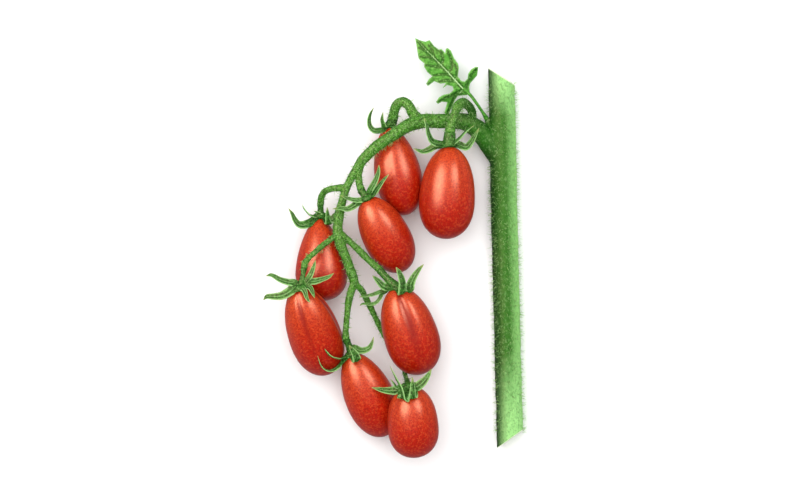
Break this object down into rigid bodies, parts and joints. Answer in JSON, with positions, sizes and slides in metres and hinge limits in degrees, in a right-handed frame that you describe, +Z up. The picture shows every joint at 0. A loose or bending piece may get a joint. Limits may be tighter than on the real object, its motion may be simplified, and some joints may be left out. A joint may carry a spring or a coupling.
{
  "type": "truss of tomatoes",
  "caption": "Truss of ripe red baby plum tomatoes with green calyces, a small leaf and a length of the main stem, laid flat as picked.",
  "frame": {"origin": "centre of the truss's bounding box, on the surface it lies on", "axes": "+Z up from the surface, +Y along the main stem towards the plant's growing tip, +X from the fruits towards the main stem"},
  "size_m": [0.1299, 0.2094, 0.043],
  "materials": {
    "stem": "matt green stem tissue with fine pale hairs",
    "leaf": "matt leaf with paler veins",
    "tomato": "glossy ripe tomato skin",
    "calyx": "matt green sepals with pale edges"
  },
  "bodies": {
    "root": {"main_stem": "stem", "truss_stalk": "stem", "leaf": "leaf", "tomato_1": "tomato", "tomato_2": "tomato", "tomato_3": "tomato", "tomato_4": "tomato", "tomato_5": "tomato", "tomato_6": "tomato", "tomato_7": "tomato", "tomato_8": "tomato", "calyx_1": "calyx", "calyx_2": "calyx", "calyx_3": "calyx", "calyx_4": "calyx", "calyx_5": "calyx", "calyx_6": "calyx", "calyx_7": "calyx", "calyx_8": "calyx"}
  },
  "joints": []
}
